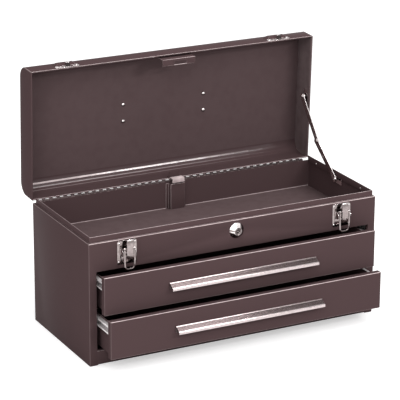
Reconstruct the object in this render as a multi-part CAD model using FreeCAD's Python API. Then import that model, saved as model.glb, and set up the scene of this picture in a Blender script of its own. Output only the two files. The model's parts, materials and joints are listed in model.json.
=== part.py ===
import FreeCAD, Part
import math
import os

# Machinist tool chest: a folded-steel case with a lidded till above two drawers.
# Millimetres. +X is the chest's right, -Y its front, +Z up.
# The origin is the middle of the case's footprint, on the surface that it stands on.
# At rest the lid stands open, the drawers are part way out and the latches hang free.

os.makedirs("parts", exist_ok=True)
V = FreeCAD.Vector
X_AXIS = V(1, 0, 0)
Y_AXIS = V(0, 1, 0)
Z_AXIS = V(0, 0, 1)
ORIGIN = V(0, 0, 0)

# ---- driving dimensions: case and lid ------------------------------------------------
case_width = 511.2
case_depth = 215.9
closed_height = 247.65
lid_height = 45.7
lid_seat_gap = 0.3
lid_corner_radius = 20.0
lid_open_angle = 88.0
sheet = 1.0
edge_softening = 0.8
lip_inset = 3.6
lip_rise = 9.5
foot_clearance = 2.0
foot_width = 14.0
hem_height = 7.0
hem_thickness = 0.9
bottom_flange = 10.0
foot_flange = 12.0
till_flange = 7.0

# ---- driving dimensions: drawers and slides ------------------------------------------
opening_bottom = 24.0
till_depth = 45.65
stile_width = 12.5
jamb_return = 6.0
front_side_gap = 1.6
front_gap = 2.3
front_middle_gap = 2.4
front_return = 10.0
tray_below_front = 8.0
tray_back_clearance = 16.0
rail_below_front_top = 16.7
rail_height = 13.0
rail_width = 7.0
rail_side_setback = 0.5
rail_lip = 2.2
rail_clearance = 0.3
runner_web = 1.2
rail_plate_height = 18.0
rail_front_setback = 1.0
rail_rear_setback = 22.0
upper_drawer_rest = 25.0
lower_drawer_rest = 47.0
drawer_travel = 150.0
pull_length = 261.0
pull_height = 10.5
pull_reach = 12.4
pull_wall = 1.6
pull_lip_drop = 4.0
pull_grooves = 5
pull_groove_depth = 0.6
pull_groove_share = 0.3

# ---- driving dimensions: piano hinge --------------------------------------------------
hinge_end_setback = 11.1
hinge_knuckles = 77
knuckle_radius = 2.6
hinge_pin_radius = 1.15
hinge_clearance = 0.35
knuckle_end_gap = 0.4
pin_fit = 0.05
leaf_thickness = 0.9
leaf_height = 15.0

# ---- driving dimensions: draw latches ------------------------------------------------
latch_from_side = 64.1
latch_plate_width = 33.0
latch_plate_height = 38.0
latch_plate_thickness = 1.0
latch_plate_top_gap = 2.4
latch_pivot_below_shoulder = 20.6
latch_pivot_reach = 8.0
latch_plate_corner = 2.0
latch_tab_thickness = 1.0
latch_ear_height = 9.0
latch_ear_reach = 11.0
latch_wing_height = 11.0
latch_wing_reach = 11.5
latch_wing_gap = 0.9
latch_pin_stand = 0.2
lever_width = 10.8
lever_sheet = 1.0
lever_length = 20.5
lever_web_setback = 4.4
lever_heel = 3.0
lever_tip_curl = 2.4
lever_boss = 2.8
lever_pin_radius = 1.6
lever_side_clearance = 0.4
loop_pivot_drop = 7.6
loop_pivot_setback = 2.6
loop_pin_radius = 1.1
loop_eye_radius = 1.9
loop_boss = 2.2
loop_reach = 32.4
loop_bar = 2.3
loop_thickness = 1.6
loop_tip_width = 18.5
loop_corner_radius = 7.0
loop_straight_length = 19.0
loop_seat_clearance = 0.5
strike_width = 40.0
strike_height = 7.0
strike_hump_height = 14.0
strike_hump_lift = 4.4
strike_hump_slope = 6.0
strike_hump_top_slope = 2.5
strike_lift = 1.0
strike_nose_side_gap = 3.2
strike_nose_thickness = 1.3
strike_nose_lip = 1.6
strike_nose_clearance = 0.9
strike_rivet_radius = 2.2
strike_rivet_head = 1.3
strike_rivet_inset = 3.6

# ---- driving dimensions: lid lock -----------------------------------------------------
lock_below_shoulder = 18.0
lock_collar_radius = 11.6
lock_collar_nose_radius = 9.4
lock_collar_reach = 6.0
lock_body_radius = 7.0
lock_body_depth = 11.5
lock_nut_radius = 10.2
lock_nut_thickness = 3.2
lock_barrel_radius = 4.6
lock_barrel_recess = 1.0
lock_keyway_outer = 3.1
lock_keyway_inner = 1.7
cam_thickness = 1.5
cam_hub_radius = 6.4
cam_hook_radius = 14.2
cam_hook_inner = 10.6
cam_hook_start = 66.0
cam_hook_end = 148.0
cam_neck_left = 1.7
cam_neck_right = 5.4
cam_screw_radius = 3.7
cam_screw_head = 1.5
cam_turn = 100.0
strike_plate_width = 59.0
strike_shelf_drop = 9.6
strike_shelf_depth = 11.0
strike_sheet = 1.2
strike_slot_width = 22.5
strike_slot_depth = 6.0
strike_slot_shift = 2.9
strike_lip_clearance = 0.7
strike_foot_height = 8.4

# ---- driving dimensions: drawer locking bar --------------------------------------------
bar_width = 16.0
bar_thickness = 1.5
bar_travel = 8.0
bar_head_width = 21.6
bar_head_reach = 10.5
bar_head_drop = 7.5
bar_head_above_shoulder = 8.35
bar_wall_gap = 1.45
bar_side_gap = 0.5
bar_finger_clearance = 2.0
bar_finger_gap = 1.0
bar_arm_clearance = 0.5
bar_tail = 20.0
guide_height = 7.0
guide_flange = 5.0
channel_width = 25.6
channel_depth = 9.0
channel_flange = 5.0
pusher_width = 18.0
pusher_flange = 9.0

# ---- driving dimensions: lid stay -------------------------------------------------------
stay_upper_length = 83.3
stay_lower_length = 80.3
stay_lid_from_hinge = 109.0
stay_lid_above_rim = 16.5
stay_case_from_hinge = 103.4
stay_case_below_shoulder = 4.2
stay_link_width = 11.0
stay_link_thickness = 1.2
stay_link_gap = 0.4
stay_wall_gap = 5.0
stay_pin_radius = 2.2
stay_head_radius = 4.4
stay_head_height = 1.0
stay_bracket_thickness = 1.2
stay_bracket_length = 24.0
stay_bracket_height = 11.0

# ---- driving dimensions: carrying handle --------------------------------------------------
handle_strap_offset = 74.0
handle_y = -3.3
handle_strap_length = 42.0
handle_strap_width = 14.0
handle_strap_thickness = 1.3
handle_rivet_spacing = 28.5
handle_rivet_radius = 2.6
handle_rivet_head = 1.4
handle_wire_radius = 3.0
handle_axis_lift = 5.2
handle_fit = 0.3
handle_arm_gap = 1.0
handle_arm_reach = 32.0
handle_bend_radius = 7.0
handle_end_overhang = 3.0
grip_length = 96.0
grip_width = 17.0
grip_thickness = 9.0
grip_edge_radius = 4.0

# ---- flats round the small round pieces, and steps round a bend of the handle -----------------
flats_on = {"knuckle": 8, "knuckle bore": 6, "rivet": 12, "wire": 12, "link": 16, "lock": 24, "bend": 4}

# ---- places worked out from the driving dimensions ------------------------------------------
half_width = case_width / 2
half_depth = case_depth / 2
inner_x = half_width - sheet
inner_y = half_depth - sheet
shoulder = closed_height - lid_height - lid_seat_gap
lid_bottom = shoulder + lid_seat_gap
hinge_length = case_width - 2 * hinge_end_setback
latch_offset = half_width - latch_from_side
opening_top = shoulder - till_depth - sheet
opening_height = opening_top - opening_bottom
opening_half = half_width - stile_width
till_floor_top = opening_top + sheet
lip_front_y = -half_depth + lip_inset
lip_rear_y = half_depth - lip_inset - sheet
hinge_y = half_depth + knuckle_radius + hinge_clearance
hinge_z = shoulder
front_half = opening_half - front_side_gap
front_height = (opening_height - 2 * front_gap - front_middle_gap) / 2
tray_wall_height = front_height - sheet - tray_below_front
tray_half = front_half - rail_side_setback - rail_width
drawer_back_y = inner_y - tray_back_clearance
front_bottoms = {
    "lower": opening_bottom + front_gap,
    "upper": opening_top - front_gap - front_height,
}
rest_extension = {"upper": upper_drawer_rest, "lower": lower_drawer_rest}

nodes = {}


def box(x0, x1, y0, y1, z0, z1):
    """A block between two corners."""
    return Part.makeBox(x1 - x0, y1 - y0, z1 - z0, V(x0, y0, z0))


def rod(axis, radius, start, end, a, b):
    """A round bar along an axis: a and b are its centre on the other two axes, in X, Y, Z order."""
    if axis == "x":
        return Part.makeCylinder(radius, end - start, V(start, a, b), X_AXIS)
    if axis == "y":
        return Part.makeCylinder(radius, end - start, V(a, start, b), Y_AXIS)
    return Part.makeCylinder(radius, end - start, V(a, b, start), Z_AXIS)


def ring(axis, radius, start, a, b, kind):
    """The corners, all at the radius, of an outline square to an axis with that kind's number of flats."""
    flats = flats_on[kind]
    points = []
    for n in range(flats):
        u = a + radius * math.cos(2 * math.pi * n / flats)
        v = b + radius * math.sin(2 * math.pi * n / flats)
        points.append({"x": V(start, u, v), "y": V(u, start, v), "z": V(u, v, start)}[axis])
    return points


def flat_face(points):
    return Part.Face(Part.makePolygon(points + points[:1]))


def skin(rings):
    """A solid through rings with as many corners each: flat faces between them and one across each end."""
    faces = [flat_face(rings[0]), flat_face(rings[-1])]
    for one, other in zip(rings, rings[1:]):
        faces += [flat_face([one[n - 1], one[n], other[n], other[n - 1]]) for n in range(len(one))]
    return Part.makeSolid(Part.Shell(faces))


def prism(axis, radius, start, end, a, b, kind):
    """A many-sided bar in place of a small round one: a and b as in rod."""
    return skin([ring(axis, radius, start, a, b, kind), ring(axis, radius, end, a, b, kind)])


def bore(axis, radius, start, end, a, b, kind):
    """A many-sided hole that a bar of the radius turns in: its flats, not its corners, lie on the radius."""
    return prism(axis, radius / math.cos(math.pi / flats_on[kind]), start, end, a, b, kind)


def taper(radius0, y0, radius1, y1, a, b, kind):
    """A many-sided cone along Y."""
    return skin([ring("y", radius0, y0, a, b, kind), ring("y", radius1, y1, a, b, kind)])


def extrude_yz(points, x0, x1):
    """A bar of the outline points (y, z), from x0 to x1."""
    wire = Part.makePolygon([V(x0, y, z) for y, z in points + points[:1]])
    return Part.Face(wire).extrude(V(x1 - x0, 0, 0))


def extrude_xz(points, y0, y1):
    """A bar of the outline points (x, z), from y0 to y1."""
    wire = Part.makePolygon([V(x, y0, z) for x, z in points + points[:1]])
    return Part.Face(wire).extrude(V(0, y1 - y0, 0))


def join(first, *others):
    """One clean solid from touching or overlapping ones."""
    return first.fuse(list(others)).removeSplitter()


def soften(shape, radius, wanted):
    """Rounds the straight edges whose middles satisfy wanted(point)."""
    return shape.makeFillet(radius, [e for e in shape.Edges if wanted(e.CenterOfMass)])


def near(a, b):
    return abs(a - b) < 1e-4


def mirrored(shape):
    """The same shape on the chest's other side."""
    return shape.mirror(ORIGIN, X_AXIS)


def opened(shape):
    """A lid piece, drawn closed, swung about the hinge to where it stands open."""
    turned = shape.copy()
    turned.rotate(V(0, hinge_y, hinge_z), X_AXIS, -lid_open_angle)
    return turned


def opened_point(y, z):
    """Where a point of the closed lid is with the lid open."""
    a = math.radians(lid_open_angle)
    dy = y - hinge_y
    dz = z - hinge_z
    return hinge_y + dy * math.cos(a) + dz * math.sin(a), hinge_z - dy * math.sin(a) + dz * math.cos(a)


# ---- case shell -----------------------------------------------------------------------------

def face_frame():
    """Front sheet: stiles, bottom rail and till front, with the stepped lip that the lid shuts over."""
    plate = box(-half_width, half_width, -half_depth, -inner_y, 0, shoulder)
    plate = soften(plate, edge_softening, lambda p: near(p.y, -half_depth) and p.z > 0)
    ledge = box(-half_width, half_width, -inner_y, lip_front_y + sheet, shoulder - sheet, shoulder)
    lip_half = half_width - lip_inset
    lip = box(-lip_half, lip_half, lip_front_y, lip_front_y + sheet, shoulder - sheet, shoulder + lip_rise)
    frame = join(plate, ledge, lip)
    frame = frame.cut(box(-opening_half, opening_half, -half_depth, -inner_y, opening_bottom, opening_top))
    foot_half = half_width - foot_width
    frame = frame.cut(box(-foot_half, foot_half, -half_depth, -inner_y, 0, foot_clearance))
    back = -inner_y + jamb_return
    sill_half = opening_half + sheet
    sill = box(-sill_half, sill_half, -inner_y, back, opening_bottom - sheet, opening_bottom)
    right_jamb = box(opening_half, opening_half + sheet, -inner_y, back, opening_bottom, opening_top)
    frame = join(frame, sill, right_jamb, mirrored(right_jamb))
    return frame.cut(bore("y", lock_body_radius + pin_fit, -half_depth, -inner_y, 0, lock_z, "lock"))


def side_panel(frame):
    """Right side sheet with its shoulder and lip, cut to meet the face frame."""
    lip_x = half_width - lip_inset
    plate = box(inner_x, half_width, -inner_y, half_depth, 0, shoulder)
    ledge = box(lip_x - sheet, half_width, lip_front_y + sheet, lip_rear_y, shoulder - sheet, shoulder)
    lip = box(lip_x - sheet, lip_x, lip_front_y + sheet, lip_rear_y, shoulder - sheet, shoulder + lip_rise)
    foot = box(inner_x - foot_flange, inner_x, -inner_y, inner_y, 0, sheet)
    panel = join(plate, ledge, lip, foot).cut(frame)
    top = lambda p: near(p.x, half_width) and near(p.z, shoulder)
    return soften(panel, edge_softening, top)


def back_panel():
    return box(-inner_x, inner_x, inner_y, half_depth, 0, shoulder)


def bottom_panel():
    """Bottom tray, laid on the side panels' feet, with its flanges turned up inside the walls."""
    low = sheet
    high = low + bottom_flange
    tray = box(-inner_x, inner_x, -inner_y, inner_y, low, high)
    x = inner_x - sheet
    y = inner_y - sheet
    return tray.cut(box(-x, x, -y, y, low + sheet, high))


def till_floor():
    """Floor of the till, flanged down at both ends, with a notch for the locking bar."""
    floor = box(-inner_x, inner_x, -inner_y, inner_y, opening_top, till_floor_top)
    right_flange = box(inner_x - sheet, inner_x, -inner_y + jamb_return + sheet, inner_y,
                       opening_top - till_flange, opening_top)
    notch_half = bar_width / 2 + bar_side_gap
    notch = box(-notch_half, notch_half, bar_front_y - bar_side_gap, inner_y, opening_top, till_floor_top)
    return join(floor, right_flange, mirrored(right_flange)).cut(notch)


# ---- piano hinge --------------------------------------------------------------------------

def hinge_leaf(parity, up):
    """One leaf with every other knuckle. up is 1 for the lid's leaf and -1 for the case's."""
    pitch = hinge_length / hinge_knuckles
    far = hinge_z + up * leaf_height
    near_edge = hinge_z + up * (knuckle_radius + hinge_clearance)
    leaf = box(-hinge_length / 2, hinge_length / 2, half_depth, half_depth + leaf_thickness,
               min(far, near_edge), max(far, near_edge))
    pieces = []
    for n in range(hinge_knuckles):
        if n % 2 != parity:
            continue
        start = -hinge_length / 2 + n * pitch + knuckle_end_gap / 2
        end = start + pitch - knuckle_end_gap
        pieces.append(box(start, end, half_depth, half_depth + leaf_thickness,
                          min(hinge_z, near_edge), max(hinge_z, near_edge)))
        pieces.append(prism("x", knuckle_radius, start, end, hinge_y, hinge_z, "knuckle"))
    hole = bore("x", hinge_pin_radius + pin_fit, -hinge_length / 2, hinge_length / 2, hinge_y, hinge_z,
                "knuckle bore")
    return leaf.fuse(pieces).cut(hole).removeSplitter()


def hinge_pin():
    return prism("x", hinge_pin_radius, -hinge_length / 2, hinge_length / 2, hinge_y, hinge_z, "rivet")


# ---- lid --------------------------------------------------------------------------------------

def lid_outline(inset):
    """The lid's end-on outline at x = 0: upright walls and a flat top with rounded corners."""
    y = half_depth - inset
    top = closed_height - inset
    r = lid_corner_radius - inset
    k = r * (1 - math.sqrt(0.5))
    edges = [
        Part.LineSegment(V(0, -y, lid_bottom), V(0, -y, top - r)),
        Part.Arc(V(0, -y, top - r), V(0, -y + k, top - k), V(0, -y + r, top)),
        Part.LineSegment(V(0, -y + r, top), V(0, y - r, top)),
        Part.Arc(V(0, y - r, top), V(0, y - k, top - k), V(0, y, top - r)),
        Part.LineSegment(V(0, y, top - r), V(0, y, lid_bottom)),
        Part.LineSegment(V(0, y, lid_bottom), V(0, -y, lid_bottom)),
    ]
    return Part.Face(Part.Wire([e.toShape() for e in edges]))


def lid_block(inset, x0, x1):
    block = lid_outline(inset).extrude(V(x1 - x0, 0, 0))
    block.translate(V(x0, 0, 0))
    return block


def lid_skin():
    """Wrapped front, top and rear of the lid, with the hem folded up inside both long edges."""
    skin = lid_block(0, -inner_x, inner_x).cut(lid_block(sheet, -inner_x, inner_x))
    hem_half = inner_x - hem_thickness
    hem = box(-hem_half, hem_half, inner_y - hem_thickness, inner_y, lid_bottom, lid_bottom + hem_height)
    return join(skin, hem, hem.mirror(ORIGIN, Y_AXIS))


def lid_end():
    """Right end cap of the lid, with its own hem."""
    cap = lid_block(0, inner_x, half_width)
    hem = box(inner_x - hem_thickness, inner_x, -inner_y, inner_y, lid_bottom, lid_bottom + hem_height)
    cap = join(cap, hem)
    faces = [f for f in cap.Faces if near(f.CenterOfMass.x, half_width)]
    rim = [e for e in faces[0].Edges if e.CenterOfMass.z > lid_bottom + edge_softening]
    return cap.makeChamfer(edge_softening, rim)


# ---- draw latches ---------------------------------------------------------------------------------
# Each latch is drawn about its lever pivot: x across, out away from the case's face, up along +Z.

def latch_box(x0, x1, out0, out1, up0, up1):
    return box(x0, x1, -half_depth - out1, -half_depth - out0, latch_pivot_z + up0, latch_pivot_z + up1)


def latch_outline(points, x0, x1):
    """A bar across a latch, of the outline points (out, up)."""
    return extrude_yz([(-half_depth - o, latch_pivot_z + u) for o, u in points], x0, x1)


def latch_rod(radius, x0, x1, out, up):
    return prism("x", radius, x0, x1, -half_depth - out, latch_pivot_z + up, "rivet")


def latch_bore(radius, x0, x1, out, up):
    return bore("x", radius, x0, x1, -half_depth - out, latch_pivot_z + up, "rivet")


def latch_tab(x0, height, reach):
    """A round-ended tab that stands out of the base plate."""
    x1 = x0 + latch_tab_thickness
    r = height / 2
    tab = join(latch_box(x0, x1, 0, reach - r, -r, r), latch_rod(r, x0, x1, reach - r, 0))
    return tab.common(latch_box(x0, x1, 0, reach, -r, r))


def latch_base():
    """Riveted base plate with two ears for the lever's pin and a guard wing outside each."""
    top = latch_pivot_below_shoulder - latch_plate_top_gap
    half = latch_plate_width / 2
    plate = latch_box(-half, half, 0, latch_plate_thickness, top - latch_plate_height, top)
    corners = [e for e in plate.Edges if near(e.Length, latch_plate_thickness)]
    plate = plate.makeChamfer(latch_plate_corner, corners)
    right = [latch_tab(ear_inner, latch_ear_height, latch_ear_reach),
             latch_tab(wing_inner, latch_wing_height, latch_wing_reach)]
    pin_hole = latch_bore(lever_pin_radius + pin_fit, -ear_outer, ear_outer, latch_pivot_reach, 0)
    return join(plate, *right, *[mirrored(tab) for tab in right]).cut(pin_hole)


def latch_pin():
    """Lever pin, riveted over close outside the ears so that the loop's arms can pass it."""
    half = ear_outer + latch_pin_stand
    return latch_rod(lever_pin_radius, -half, half, latch_pivot_reach, 0)


def latch_lever():
    """Channel lever with a curled fingertip, drawn latched, then turned half a turn to thrown open."""
    half = lever_width / 2
    back = latch_pivot_reach - lever_web_setback
    low = -lever_length
    web = latch_box(-half, half, back - lever_sheet, back, low, lever_heel)
    curl = latch_outline([(back - lever_sheet, low), (back, low), (back + lever_tip_curl, low - lever_sheet),
                          (back + lever_tip_curl, low - 2 * lever_sheet), (back, low - 2 * lever_sheet)],
                         -half, half)
    cheek = latch_outline([(back, lever_heel), (latch_pivot_reach, lever_heel),
                           (latch_pivot_reach + lever_boss, 0),
                           (loop_latched_out + loop_boss, -loop_pivot_drop),
                           (loop_latched_out, -loop_pivot_drop - loop_boss), (back, low + lever_tip_curl)],
                          half - lever_sheet, half)
    lever = join(web, curl, cheek, mirrored(cheek))
    lever = lever.cut(latch_bore(lever_pin_radius + pin_fit, -half, half, latch_pivot_reach, 0))
    lever = lever.cut(latch_bore(loop_pin_radius + pin_fit, -half, half, loop_latched_out, -loop_pivot_drop))
    lever.rotate(V(0, -half_depth - latch_pivot_reach, latch_pivot_z), X_AXIS, 180)
    return lever


def loop_plate(inset, highest, lowest):
    """The loop's outline, inset on each side: straight arms, then a taper to a round end."""
    arm = loop_top_width / 2 - inset
    tip = loop_tip_width / 2 - inset
    knee_up = loop_rest_up - loop_straight_length
    r = loop_corner_radius - inset
    k = r * (1 - math.sqrt(0.5))
    y = -half_depth - loop_rest_out - loop_thickness / 2

    def at(x, up):
        return V(x, y, latch_pivot_z + up)

    edges = [
        Part.LineSegment(at(-arm, highest), at(-arm, knee_up)),
        Part.LineSegment(at(-arm, knee_up), at(-tip, lowest + r)),
        Part.Arc(at(-tip, lowest + r), at(-tip + k, lowest + k), at(-tip + r, lowest)),
        Part.LineSegment(at(-tip + r, lowest), at(tip - r, lowest)),
        Part.Arc(at(tip - r, lowest), at(tip - k, lowest + k), at(tip, lowest + r)),
        Part.LineSegment(at(tip, lowest + r), at(arm, knee_up)),
        Part.LineSegment(at(arm, knee_up), at(arm, highest)),
        Part.LineSegment(at(arm, highest), at(-arm, highest)),
    ]
    return Part.Face(Part.Wire([e.toShape() for e in edges])).extrude(V(0, loop_thickness, 0))


def latch_loop():
    """Slotted loop that hangs from the thrown-open lever: two arms on a cross pin, joined round the end."""
    low = loop_rest_up - loop_reach - loop_bar
    slot = loop_plate(loop_bar, loop_rest_up + loop_bar, low + loop_bar)
    plate = loop_plate(0, loop_rest_up, low).cut(slot)
    half = loop_top_width / 2
    eyes = [latch_rod(loop_eye_radius, half - loop_bar, half, loop_rest_out, loop_rest_up)]
    eyes.append(mirrored(eyes[0]))
    pin = latch_rod(loop_pin_radius, -half, half, loop_rest_out, loop_rest_up)
    return join(plate, pin, *eyes)


def hump(inset):
    """The strike's pressed hump: a block that narrows outward, inset on each side and at the front."""
    half = strike_width / 2 - inset
    foot = lid_bottom + strike_lift + strike_height - sheet
    low = foot + inset
    high = foot + strike_hump_height - inset
    rings = []
    for lift, x, z in ((0, 0, 0), (strike_hump_lift - inset, strike_hump_slope, strike_hump_top_slope)):
        y = -half_depth - lift
        rings.append([V(x - half, y, low + z), V(half - x, y, low + z), V(half - x, y, high - z),
                      V(x - half, y, high - z)])
    return skin(rings)


def latch_strike():
    """Catch on the lid's front: a riveted plate with a turned-up nose for the loop and a pressed hump."""
    half = strike_width / 2
    low = lid_bottom + strike_lift
    face = -half_depth
    plate = box(-half, half, face - sheet, face, low, low + strike_height)
    nose_half = loop_tip_width / 2 - loop_bar - strike_nose_side_gap
    reach = face - loop_latched_out - loop_thickness / 2 - strike_nose_clearance
    outer = reach - strike_nose_thickness
    seat = loop_seat_z
    root = face - sheet / 2
    low_side = seat - strike_nose_thickness
    high_side = seat + strike_nose_lip
    nose = extrude_yz([(root, low_side), (outer, low_side), (outer, high_side), (reach, high_side),
                       (reach, seat), (root, seat)], -nose_half, nose_half)
    rivets = [prism("y", strike_rivet_radius, face - sheet - strike_rivet_head, face - sheet / 2,
                    s * (half - strike_rivet_inset), low + strike_height / 2, "rivet") for s in (-1, 1)]
    return join(plate, nose, hump(0).cut(hump(sheet)), *rivets)


# ---- lid lock ---------------------------------------------------------------------------------------

def lock_housing():
    """Collar outside the till front and the threaded body behind it, bored for the barrel."""
    face = -half_depth
    nose = face - lock_collar_reach
    collar = taper(lock_collar_radius, face, lock_collar_nose_radius, nose, 0, lock_z, "lock")
    body = prism("y", lock_body_radius, face, lock_body_end, 0, lock_z, "lock")
    hole = bore("y", lock_barrel_radius + pin_fit, nose, lock_body_end, 0, lock_z, "lock")
    dish = taper(lock_barrel_radius + pin_fit, nose + lock_barrel_recess,
                 lock_collar_nose_radius - sheet, nose, 0, lock_z, "lock")
    return join(collar, body).cut(hole).cut(dish)


def lock_nut():
    """Hexagon nut that holds the lock to the sheet."""
    points = [(lock_nut_radius * math.cos(math.radians(60 * n)),
               lock_z + lock_nut_radius * math.sin(math.radians(60 * n))) for n in range(6)]
    nut = extrude_xz(points, -inner_y, -inner_y + lock_nut_thickness)
    hole = prism("y", lock_body_radius, -inner_y, -inner_y + lock_nut_thickness, 0, lock_z, "lock")
    return nut.cut(hole)


def lock_barrel():
    """Round plug with the ring-shaped keyway of a tubular key."""
    front = -half_depth - lock_collar_reach + lock_barrel_recess
    plug = prism("y", lock_barrel_radius, front, lock_body_end, 0, lock_z, "lock")
    keyway = prism("y", lock_keyway_outer, front, front + lock_collar_reach, 0, lock_z, "lock")
    core = prism("y", lock_keyway_inner, front, front + lock_collar_reach, 0, lock_z, "lock")
    return plug.cut(keyway.cut(core))


def lock_cam():
    """Hooked cam, drawn locked with its hook over the strike's shelf, then turned back to unlocked."""
    y0 = lock_body_end
    y1 = y0 + cam_thickness
    hub = prism("y", cam_hub_radius, y0, y1, 0, lock_z, "lock")
    sector = rod("y", cam_hook_radius, y0, y1, 0, lock_z)
    hollow = rod("y", cam_hook_inner, y0, y1, 0, lock_z)
    far = 2 * cam_hook_radius
    rays = [(far * math.cos(math.radians(t)), lock_z + far * math.sin(math.radians(t)))
            for t in (cam_hook_start, cam_hook_end)]
    hook = sector.cut(hollow).common(extrude_xz([(0, lock_z)] + rays, y0, y1))
    middle = (cam_hook_radius + cam_hook_inner) / 2
    neck = box(-cam_neck_left, cam_neck_right, y0, y1, lock_z, lock_z + middle)
    shelf_top = lid_bottom - strike_shelf_drop + strike_sheet
    under = box(-far, strike_slot_shift - strike_slot_width / 2 + hinge_clearance, y0, y1,
                lock_z - far, shelf_top + hinge_clearance)
    cam = join(hub, neck, hook.cut(under))
    cam.rotate(V(0, 0, lock_z), Y_AXIS, cam_turn)
    return cam


def lock_cam_screw():
    seat = lock_body_end + cam_thickness
    return prism("y", cam_screw_radius, seat, seat + cam_screw_head, 0, lock_z, "rivet")


def lid_lock_strike():
    """Bracket inside the lid's front: it steps back behind the lip and carries a slotted shelf."""
    half = strike_plate_width / 2
    wall = -inner_y + hem_thickness
    tongue_front = lip_front_y + sheet + strike_lip_clearance
    tongue_back = tongue_front + strike_sheet
    step = shoulder + lip_rise + strike_sheet
    shelf_z = lid_bottom - strike_shelf_drop
    foot_z = step + strike_sheet
    foot = box(-half, half, -inner_y, -inner_y + strike_sheet, foot_z, foot_z + strike_foot_height)
    bridge = box(-half, half, -inner_y, tongue_back, step, foot_z)
    tongue = box(-half, half, tongue_front, tongue_back, shelf_z, step)
    shelf = box(-half, half, tongue_front, tongue_front + strike_shelf_depth, shelf_z, shelf_z + strike_sheet)
    slot_half = strike_slot_width / 2
    slot = box(strike_slot_shift - slot_half, strike_slot_shift + slot_half,
               cam_middle_y - strike_slot_depth / 2, cam_middle_y + strike_slot_depth / 2,
               shelf_z, shelf_z + strike_sheet)
    return join(foot, bridge, tongue, shelf.cut(slot))


# ---- drawer locking bar ----------------------------------------------------------------------------

def hat_section(half, depth, flange, z0, z1):
    """A folded hat on the inside of the back panel, half wide each side and depth deep."""
    front = inner_y - depth
    outer = box(-half, half, front, inner_y, z0, z1)
    inner = box(-half + sheet, half - sheet, front + sheet, inner_y, z0, z1)
    right_flange = box(half, half + flange, inner_y - sheet, inner_y, z0, z1)
    return join(outer.cut(inner), right_flange, mirrored(right_flange))


def bar_channel():
    """Folded cover up the middle of the till's back, over the locking bar."""
    return hat_section(channel_width / 2, channel_depth, channel_flange, till_floor_top, shoulder - 2 * sheet)


def bar_guide():
    """Staple low on the back panel that the locking bar's tail slides in."""
    low = finger_z["lower"] - bar_tail + 2 * sheet
    depth = inner_y - bar_front_y + bar_side_gap + sheet
    return hat_section(bar_width / 2 + bar_side_gap + sheet, depth, guide_flange, low, low + guide_height)


def locking_bar():
    """Bar that drops as the lid shuts: a finger falls inside the back wall of each shut drawer."""
    half = bar_width / 2
    head_half = bar_head_width / 2
    top = shoulder + bar_head_above_shoulder
    lowest = finger_z["lower"] - bar_tail
    strip = box(-half, half, bar_front_y, bar_back_y, lowest, top)
    pad = box(-head_half, head_half, bar_back_y - bar_head_reach, bar_back_y, top - bar_thickness, top)
    lip_y = bar_back_y - bar_head_reach
    lip = box(-head_half, head_half, lip_y, lip_y + bar_thickness, top - bar_head_drop, top)
    fingers = []
    for z in finger_z.values():
        tip = z - bar_arm_clearance - bar_travel + bar_finger_clearance
        fingers.append(box(-half, half, finger_y, bar_front_y, z, z + bar_thickness))
        fingers.append(box(-half, half, finger_y, finger_y + bar_thickness, tip, z))
    return join(strip, pad, lip, *fingers)


def bar_pusher():
    """Small angle on the lid's rear wall that presses the bar's head down."""
    half = pusher_width / 2
    low = shoulder + bar_head_above_shoulder - bar_travel + lid_seat_gap
    wall = inner_y - hem_thickness
    shelf = box(-half, half, bar_back_y - bar_head_reach, inner_y - hem_thickness, low, low + sheet)
    flange = box(-half, half, wall - sheet, wall, low, low + pusher_flange)
    pad = box(-half, half, wall, inner_y, lid_bottom + hem_height, low + pusher_flange)
    return join(shelf, flange, pad)


# ---- lid stay -----------------------------------------------------------------------------------------

def link(x0, start, end, holes):
    """A flat round-ended link between two (y, z) points, bored at the ends listed in holes."""
    r = stay_link_width / 2
    dy = end[0] - start[0]
    dz = end[1] - start[1]
    length = math.hypot(dy, dz)
    bar = box(x0, x0 + stay_link_thickness, 0, length, -r, r)
    bar = join(bar, *[prism("x", r, x0, x0 + stay_link_thickness, y, 0, "link") for y in (0, length)])
    for n in holes:
        bar = bar.cut(bore("x", stay_pin_radius + pin_fit, x0, x0 + stay_link_thickness, n * length, 0,
                           "rivet"))
    bar.rotate(ORIGIN, X_AXIS, math.degrees(math.atan2(dz, dy)))
    bar.translate(V(0, start[0], start[1]))
    return bar


def stay_knee(lid_pin, case_pin):
    """Where the two links meet: on the hinge's side of the line between their outer pins."""
    dy = lid_pin[0] - case_pin[0]
    dz = lid_pin[1] - case_pin[1]
    span = math.hypot(dy, dz)
    along = (stay_lower_length**2 - stay_upper_length**2 + span**2) / (2 * span)
    off = math.sqrt(stay_lower_length**2 - along**2)
    return (case_pin[0] + (dy * along + dz * off) / span, case_pin[1] + (dz * along - dy * off) / span)


def stay_pin(x_wall, x_head, at):
    """Shouldered rivet from a bracket through one link."""
    shank = prism("x", stay_pin_radius, x_head - pin_fit, x_wall, at[0], at[1], "rivet")
    head = prism("x", stay_head_radius, x_head - stay_head_height, x_head - pin_fit, at[0], at[1],
                 "rivet")
    return join(shank, head)


def stay_case_bracket():
    """Plate riveted to the case's right wall, with the pin of the lower link."""
    y, z = stay_case_pin
    x1 = inner_x
    x0 = inner_x - stay_bracket_thickness
    plate = box(x0, x1, y - stay_bracket_length / 2, y + stay_bracket_length / 2,
                z + stay_pin_radius - stay_bracket_height, z + stay_pin_radius)
    return join(plate, stay_pin(x0, stay_lower_x, stay_case_pin))


def stay_lid_bracket():
    """Plate riveted inside the lid's right end, with the pin of the upper link, drawn closed."""
    y, z = stay_lid_pin_closed
    x1 = inner_x
    x0 = inner_x - stay_bracket_thickness
    low = lid_bottom + hem_height + hinge_clearance
    half = stay_bracket_length / 2
    plate = box(x0, x1, y - half, y + half, low, low + stay_bracket_height)
    return join(plate, stay_pin(x0, stay_upper_x, stay_lid_pin_closed))


# ---- carrying handle --------------------------------------------------------------------------------

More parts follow.
